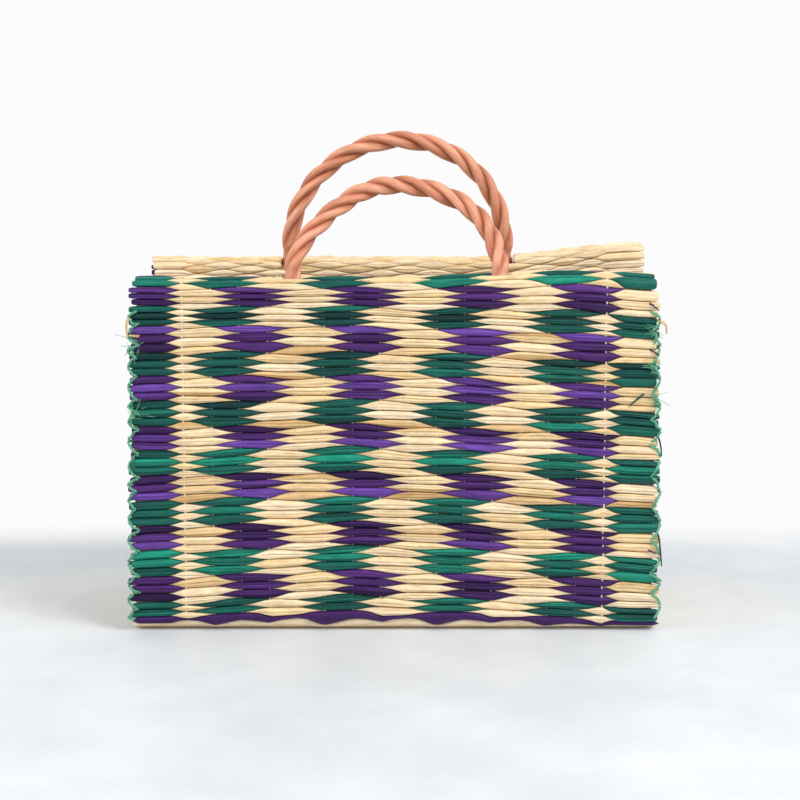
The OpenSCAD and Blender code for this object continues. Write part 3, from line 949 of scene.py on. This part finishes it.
def warp_threads():
    """White threads down each wall, under the floats; the outermost lie higher and show between them."""
    s = np.linspace(-RIM_ARC * 0.8, WALL_LEN + FOOT_ARC, THREAD_RINGS)
    paths = []
    for face in (front_face, back_face):
        for x in front_weave.knots[1:-1]:
            sway = x + 0.25 * np.sin(s / 6 + x)
            outermost = np.isclose(np.abs(x), front_weave.knots[-2])
            height = OUTER_THREAD_H if outermost else THREAD_H
            paths.append(face(sway, s, np.full_like(s, height)))
    points, faces, grain = swept(np.array(paths), THREAD_R, sides=5)
    new_piece("warp_threads", points, faces, warp_thread, "natural_reed", grain=grain)


def seam_pieces(name, knots, tufts):
    """A two-ply seam string through the knots, with short fibres all along it and longer ones at the tufts.

    The plies wind round the path; each fibre is a thin tapering tube that leaves it in a slight curve."""
    path = smooth_path(np.array(knots), 4)
    step = np.linalg.norm(np.diff(path, axis=0, prepend=path[:1]), axis=1)
    lay = np.cumsum(step) * 2 * np.pi / STRING_LAY
    tangent = unit(np.gradient(path, axis=0))
    side = unit(np.cross(tangent, [0.3, 0.5, 0.81]))
    up = np.cross(tangent, side)
    wind = STRING_R * PLY_OUT * (np.cos(lay)[:, None] * side + np.sin(lay)[:, None] * up)
    plies = np.array([path - wind, path + wind])
    ply_points, ply_faces, ply_grain = swept(plies, STRING_R * PLY_R, sides=6)
    root = path[rng.integers(0, len(path), len(path) // 3)]
    length = rng.uniform(*HAIR_LEN, len(root))
    away = rng.standard_normal((len(root), 3)) * [1, 0.5, 1]
    thick = np.full(len(root), HAIR_R)
    for tuft in tufts:
        close = path[(np.abs(path[:, 2] - tuft) < TUFT_REACH) & (np.abs(path[:, 1]) > WALL_OUT)]
        spread = np.array([0.9, 0.2, 0.8]) * rng.standard_normal((TUFT_HAIRS, 3))
        root = np.concatenate([root, close[rng.integers(0, len(close), TUFT_HAIRS)]])
        away = np.concatenate([away, spread - [0.9 * np.sign(path[0, 0]), 0.25, 0.2]])
        length = np.concatenate([length, rng.uniform(*TUFT_LEN, TUFT_HAIRS)])
        thick = np.concatenate([thick, rng.uniform(*TUFT_R, TUFT_HAIRS)])
    droop = rng.standard_normal((len(root), 3)) * HAIR_DROOP
    u = np.linspace(0, 1, HAIR_RINGS)[None, :, None]
    hairs = root[:, None] + length[:, None, None] * (u * unit(away)[:, None] + u ** 2 * droop[:, None])
    radius = thick[:, None] * np.linspace(1, 0.45, HAIR_RINGS)
    hair_points, hair_faces, hair_grain = swept(hairs, radius, sides=4)
    points, faces = joined([(ply_points, ply_faces), (hair_points, hair_faces)])
    grain = np.concatenate([ply_grain, hair_grain])
    seam = name.replace("string", "seam")
    new_piece(name, points, faces, green_string, "seam_string", grain=grain, replaces=(seam,))


def corner_string(side, depth, name, tufts):
    """A seam string down a corner, like a blanket stitch: through a hole in the wall's face, back to the reed
    ends, round them to the end panel, and down along the reed ends to the next hole.

    side is -1 for the left end and 1 for the right; depth is -1 for the front wall and 1 for the back."""
    low = BASE_TOP + SEAM_FOOT
    z = END_TOP + SEAM_ABOVE
    pitch = STITCH if side < 0 else WIDE_STITCH * STITCH
    front = WALL_OUT + FLOAT_RISE
    knots = []
    while z > low:
        drop = pitch * rng.uniform(*STITCH_PLAY)
        edge = HALF_W + END_EXTRA + END_FLARE * (END_TOP - z) / (END_TOP - low)
        reach = rng.uniform(*STITCH_REACH)
        way = [(edge - reach * 0.5, front + 0.3), (edge - 1.0, front + 0.1), (edge + 0.2, front - 0.6),
               (edge + 0.7, WALL_OUT - 1.0), (END_FACE + 2.2, WALL_IN - 2.0)]
        places = [(edge - reach, front - 1.2), *way, (END_FACE + 1.2, WALL_IN - 6.5), *way[::-1]]
        for (x, y), fall in zip(places, STITCH_FALL):
            wobble = rng.uniform(-0.5, 0.5)
            knots.append((side * (x + 0.5 * wobble), depth * y, max(z - fall * drop + wobble, low)))
        z -= drop
    seam_pieces(name, knots, tufts)


def base_string(side, name):
    """A whip stitch along the foot of an end panel."""
    panel, edge = side * (END_FACE + 1.9), side * (HALF_W + 1.4)
    knots = []
    for i in range(BASE_STITCHES):
        y = (i - (BASE_STITCHES - 1) / 2) * STITCH
        knots += [(panel, y - 2.4, BASE_TOP + 4.5), (edge, y, BASE_Z + 1.6), (panel, y + 2.4, BASE_TOP + 4.5)]
    seam_pieces(name, knots, ())


warp_threads()
for side, end in ((-1, "left"), (1, "right")):
    for depth, wall in ((-1, "front"), (1, "back")):
        corner_string(side, depth, f"{wall}_{end}_string", TUFTS[end] if depth < 0 else ())
    base_string(side, f"{end}_base_string")


# Loose strands at the ends of the front wall: lines of (x, z) with the reed's thickness

LOOSE = {
    PURPLE: (0.5, (((143.2, 191.4), (145.2, 190.8), (147.5, 189.0), (149.3, 187.3)),
                   ((144.2, 164.6), (146.4, 164.2), (148.4, 163.0), (150.1, 161.8)),
                   ((144.8, 48.8), (146.8, 48.2), (148.2, 47.4), (150.4, 46.6)))),
    GREEN: (0.6, (((149.0, 117.0), (151.0, 113.0), (152.0, 108.5), (152.4, 104.0)),
                  ((149.4, 61.0), (151.6, 57.0), (152.9, 48.5), (153.7, 39.2)),
                  ((143.2, 140.0), (140.4, 138.6), (137.2, 136.0), (133.8, 132.8)))),
    NATURAL: (0.8, (((-148.5, 184.0), (-150.8, 181.5), (-151.2, 176.0), (-150.6, 171.2)),
                    ((-143.9, 172.2), (-146.0, 172.8), (-148.0, 173.0), (-149.6, 173.2)),
                    ((149.0, 181.4), (152.0, 180.4), (153.6, 178.4), (153.9, 174.4)))),
}
LOOSE_TONE = 0.22


def loose_strands():
    """Splinters and strands that have worked free: thin tapering tubes that start between the reeds."""
    rise = FLOAT_RISE + 0.4
    depth = -(WALL_OUT + np.array([-1.5, rise, rise, rise]))
    for colour, (radius, lines) in LOOSE.items():
        paths = np.array([smooth_path(np.insert(np.array(line), 1, depth, axis=1), 6) for line in lines])
        taper = radius * np.linspace(1.1, 0.7, paths.shape[1])[None].repeat(len(paths), 0)
        points, faces, grain = swept(paths, taper, sides=6)
        tone = np.full(len(points), LOOSE_TONE)
        reed_piece(f"front_{colour}_strands", (points, faces, tone, grain), colour)


loose_strands()


# Handles

def handle(side):
    """Three turns of one willow rod: lobes round a centre line of two straight legs and half an ellipse.

    The lobes stand a third of a turn apart and wind along the arch; on the legs they lie flat side by side.
    skew pushes the arch sideways, by its first value on the left flank and by its second at the apex."""
    name = f"{side}_handle"
    reach, shift = HANDLE_LEGS[side]
    rise, lean, skew = HANDLE_ARCH[side]
    hinge = hinges[f"{name}_tilt"] + [shift, 0, 0]
    u = np.linspace(0, 1, HANDLE_RINGS)
    leg_share = LEG_LEN / (2 * LEG_LEN + np.pi * (reach + rise - LEG_LEN) / 2)
    a = np.pi * np.clip((u - leg_share) / (1 - 2 * leg_share), 0, 1)
    climb = np.minimum(np.clip(u / leg_share, 0, 1), np.clip((1 - u) / leg_share, 0, 1)) * LEG_LEN
    bend = skew[0] * (np.sin(2 * a) + np.sin(2 * a) ** 2) + skew[1] * np.sin(a) ** 2
    centre = np.stack([bend - reach * np.cos(a), climb + (rise - LEG_LEN) * np.sin(a)], -1)
    out = unit(np.stack([-(rise - LEG_LEN) * np.cos(a), reach * np.sin(a)], -1))
    free = ramp(*LEG_WIDENS, climb + ARCH_WIDENS * np.sin(a))
    flat = LEG_FLAT + (1 - LEG_FLAT) * free
    twist = 2 * np.pi * (TWISTS * a / np.pi + LEG_TWIST * (climb / LEG_LEN - 1) * np.where(u < 0.5, 1, -1))
    lobe = np.arange(3)[:, None]
    wander = 0.10 * np.sin(u * 9 + lobe * 2.1) + 0.06 * np.sin(u * 23 + lobe)
    at = 2 * np.pi * lobe / 3 + np.pi / 2 + twist + wander * np.sin(np.pi * u)
    radius = (ROD_R + SQUASH) * (1 + 0.05 * np.sin(u * 11 + lobe * 1.7) + 0.03 * np.sin(u * 31 + lobe * 4))
    angle = np.linspace(0, 2 * np.pi, HANDLE_SIDES, endpoint=False)
    ring = (LOBE_RING - SQUASH) * (LEG_DRAWN + (1 - LEG_DRAWN) * free)
    p = (ring * np.cos(at))[..., None] + radius[..., None] * np.cos(angle)
    q = (ring * np.sin(at))[..., None] + radius[..., None] * np.sin(angle)
    x = centre[:, 0, None] + out[:, 0, None] * p
    z = centre[:, 1, None] + out[:, 1, None] * p
    y = -flat[:, None] * q
    local = np.stack([x, y, z], -1)
    poles = np.stack([local[:, 0].mean(1) - [0, 0, 1.0], local[:, -1].mean(1) - [0, 0, 1.0]], 1)
    strand = np.broadcast_arrays(u[None, :, None] * 260, angle * 2.6, lobe[..., None] * 31.0 + reach)
    grain = np.stack(strand, -1)
    grain = closed_tubes(grain, grain[:, [0, -1], 0])
    # Painted light and shade: each lobe is lighter where it faces out from the rope and darker where it faces
    # in, in the creases between the lobes
    facing = np.cos(angle - at[..., None])
    tone = np.array(LOBE_TONES)[:, None, None] + CREASE_PAINTED_SHADE * np.clip(facing - 0.35, -0.8, 0.4)
    tone = np.concatenate([tone.reshape(3, -1), np.full((3, 2), TIP_TONE)], 1).reshape(-1)
    foot_x = np.linspace(-FOOT_LEN / 2, FOOT_LEN / 2, 9)
    feet = np.array([[(s * reach + d, 0, 0) for d in foot_x] for s in (-1, 1)])
    foot_points, foot_faces, foot_grain = swept(feet, ROD_R, sides=14)
    arch_faces = tube_faces(3, HANDLE_RINGS, HANDLE_SIDES)
    points, faces = joined([(closed_tubes(local, poles), arch_faces), (foot_points, foot_faces)])
    grain = np.concatenate([grain, foot_grain])
    tone = np.concatenate([tone, np.full(len(foot_points), FOOT_TONE)])
    c, s = np.cos(lean), np.sin(lean)
    x, y, z = points.T
    turned = np.stack([x, y * c + z * s, z * c - y * s], -1)
    new_piece(f"{name}_willow", turned + hinge, faces, willow, "willow", body=name, tone=tone, grain=grain,
              replaces=(name,))


handle("front")
handle("back")


# Stage, in metres: the table, where its top fades to white, and the lamps with place, aim, size and watts

TABLE_CORNERS = ((-6, -4, 0), (6, -4, 0), (6, 8, 0), (-6, 8, 0))
TABLE_EDGE = (0.13, 0.225)
LAMPS = {
    "window": ((1.3, -1.1, 1.8), (0.12, 0, 0.1), 1.1, 34),
    "fill": ((-1.6, -0.9, 1.0), (0, 0, 0.1), 1.6, 16),
}

# Camera: focal length in pixels of the frame, sensor in millimetres, place, pitch below level
CAMERA_F = 2268.0
FRAME_PIXELS = 800
SENSOR = 36.0
CAMERA_PLACE = (0.0033, -1.329, 0.3585)
CAMERA_PITCH = np.radians(9.94)


def floor_material():
    """Pale mottled table top, plain white past its back edge."""
    shader = new_material("table")
    coords = shader.place()
    cloud = shader.noise(coords, (9.0, 9.0, 9.0), detail=6.0)
    shader.skin(shader.ramp(cloud, (0.30, (0.63, 0.655, 0.68)), (0.70, (0.77, 0.79, 0.81))), 0.55, 0.25)
    white = shader.add("Emission", {"Color": (1, 1, 1, 1), "Strength": 0.97})
    depth = shader.add("SeparateXYZ", {0: coords}).outputs["Y"]
    fade = dict(zip(("Value", "From Min", "From Max"), (depth, *TABLE_EDGE)))
    edge = shader.add("MapRange", fade, interpolation_type="SMOOTHSTEP").outputs["Result"]
    seen = shader.maths("MULTIPLY", edge, shader.sight())
    shader.show("Material Output", seen, shader.nodes["Principled BSDF"], white)
    return shader.owner


def lamp(name, place, aim, size, power):
    """A round lamp at a place, turned to where it aims."""
    data = bpy.data.lights.new(name, "AREA")
    data.shape = "DISK"
    data.size = size
    data.energy = power
    light = placed(name, data)
    light.location = place
    x, y, z = np.array(aim) - np.array(place)
    light.rotation_euler = (np.arctan2(np.hypot(x, y), -z), 0, np.arctan2(x, -y) + np.pi)


def stage():
    """Table, soft light and the camera."""
    mesh = bpy.data.meshes.new("table")
    mesh.from_pydata(TABLE_CORNERS, [], [(0, 1, 2, 3)])
    mesh.materials.append(floor_material())
    table = placed("table", mesh)

    world = bpy.data.worlds.new("room")
    bpy.context.scene.world = world
    room = Nodes(world)
    light = room.nodes["Background"]
    room.feed(light, {"Color": (0.97, 0.985, 1.0, 1), "Strength": 0.73})
    seen = room.add("Background", {"Color": (0.965, 0.975, 0.985, 1), "Strength": 1.0})
    room.show("World Output", room.sight(), light, seen)

    for name, settings in LAMPS.items():
        lamp(name, *settings)

    data = bpy.data.cameras.new("camera")
    data.sensor_width = SENSOR
    data.lens = SENSOR * CAMERA_F / FRAME_PIXELS
    camera = placed("camera", data)
    camera.location = CAMERA_PLACE
    camera.rotation_euler = (np.pi / 2 - CAMERA_PITCH, 0, 0)
    bpy.context.scene.camera = camera
    bpy.context.scene.view_settings.view_transform = "Standard"


stage()
